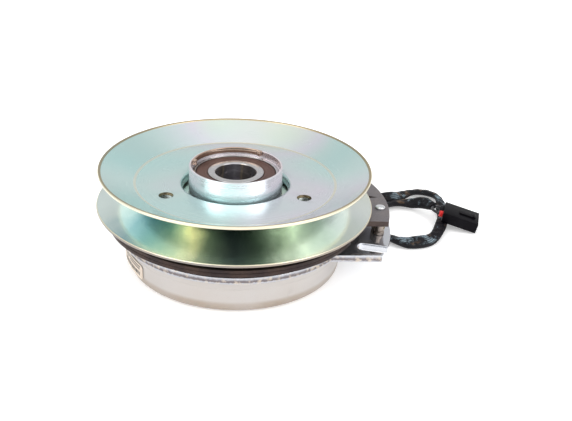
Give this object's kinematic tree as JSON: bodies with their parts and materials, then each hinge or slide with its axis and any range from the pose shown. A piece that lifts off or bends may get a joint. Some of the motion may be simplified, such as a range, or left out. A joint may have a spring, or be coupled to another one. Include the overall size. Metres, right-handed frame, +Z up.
{
  "type": "electromagnetic clutch",
  "caption": "Round electromagnetic power take-off clutch with a stamped V-belt pulley over a field coil shell, a brake plate, a slotted torque tab and a lead with a two-way connector.",
  "frame": {"origin": "on the shaft's axis, at the level of the field shell's base", "axes": "+Z up along the crankshaft towards the pulley, +X towards the torque tab and the brake plate"},
  "size_m": [0.2907, 0.2122, 0.0742],
  "materials": {
    "armature_steel": "dark brown oxide",
    "bearing_steel": "ground",
    "black_insulation": "wire insulation",
    "black_plastic": "matte",
    "black_rubber": "matte",
    "black_sleeve": "braided sleeve",
    "bronze": "sintered bronze",
    "connector_plastic": "moulded nylon",
    "copper_winding": "enamelled copper wire",
    "field_steel": "satin cream-grey coating on drawn steel",
    "friction_material": "moulded friction ring",
    "gold_zinc": "yellow zinc",
    "grey_steel": "dark grey phosphate",
    "label_film": "plain label film",
    "machined_steel": "machined",
    "potting_resin": "cast resin",
    "pulley_zinc": "iridescent zinc plating on stamped sheet",
    "red_rubber": "matte",
    "rivet_steel": "zinc plated",
    "rotor_steel": "worn friction face",
    "seal_rubber": "brown rubber",
    "spring_steel": "bright spring steel",
    "tinned_brass": "tinned",
    "zinc_plate": "bright zinc"
  },
  "bodies": {
    "field": {"brake_plate": "grey_steel", "brake_rivet_1": "rivet_steel", "brake_rivet_2": "rivet_steel", "brake_spacer_1": "gold_zinc", "brake_spacer_2": "gold_zinc", "brake_stop_pin": "gold_zinc", "coil_bobbin": "black_plastic", "coil_potting": "potting_resin", "coil_winding": "copper_winding", "connector_housing": "connector_plastic", "connector_latch": "connector_plastic", "field_bushing": "bronze", "field_shell": "field_steel", "lead_grommet": "black_rubber", "lead_sleeve": "black_sleeve", "lead_wire_1": "black_insulation", "lead_wire_2": "black_insulation", "mounting_plate": "zinc_plate", "shell_label": "label_film", "terminal_1": "tinned_brass", "terminal_2": "tinned_brass", "wire_seal_1": "black_rubber", "wire_seal_2": "red_rubber"},
    "rotor": {"bearing_inner_race": "bearing_steel", "rotor_disc": "rotor_steel", "rotor_friction_ring": "friction_material", "rotor_hub": "machined_steel"},
    "pulley": {"bearing_outer_race": "bearing_steel", "bearing_retainer": "gold_zinc", "bearing_seal_bottom": "seal_rubber", "bearing_seal_top": "seal_rubber", "drive_plate": "grey_steel", "hub_rivet_1": "rivet_steel", "hub_rivet_2": "rivet_steel", "hub_rivet_3": "rivet_steel", "leaf_spring_1": "spring_steel", "leaf_spring_2": "spring_steel", "leaf_spring_3": "spring_steel", "pulley_hub": "pulley_zinc", "pulley_lower": "pulley_zinc", "pulley_upper": "pulley_zinc", "spring_rivet_1": "rivet_steel", "spring_rivet_2": "rivet_steel", "spring_rivet_3": "rivet_steel"},
    "armature": {"armature": "armature_steel", "armature_rivet_1": "rivet_steel", "armature_rivet_2": "rivet_steel", "armature_rivet_3": "rivet_steel"},
    "bearing_cage": {"bearing_ball_1": "bearing_steel", "bearing_ball_2": "bearing_steel", "bearing_ball_3": "bearing_steel", "bearing_ball_4": "bearing_steel", "bearing_ball_5": "bearing_steel", "bearing_ball_6": "bearing_steel", "bearing_ball_7": "bearing_steel", "bearing_ball_8": "bearing_steel", "bearing_cage": "bronze"}
  },
  "joints": [
    {"name": "rotor_spin", "type": "hinge", "parent": "field", "child": "rotor", "pos_m": [0, 0, 0.03], "axis": [0, 0, 1], "continuous": true},
    {"name": "pulley_spin", "type": "hinge", "parent": "rotor", "child": "pulley", "pos_m": [0, 0, 0.06], "axis": [0, 0, 1], "continuous": true},
    {"name": "cage_spin", "type": "hinge", "parent": "rotor", "child": "bearing_cage", "pos_m": [0, 0, 0.06], "axis": [0, 0, 1], "continuous": true},
    {"name": "armature_slide", "type": "slide", "parent": "pulley", "child": "armature", "axis": [0, 0, 1], "range_m": [-0.0004, 0], "stiffness_N_per_m": 40000, "springref_m": 0.0006}
  ],
  "couplings": [
    {"joint": "cage_spin", "follows": "pulley_spin", "ratio": 0.597}
  ]
}
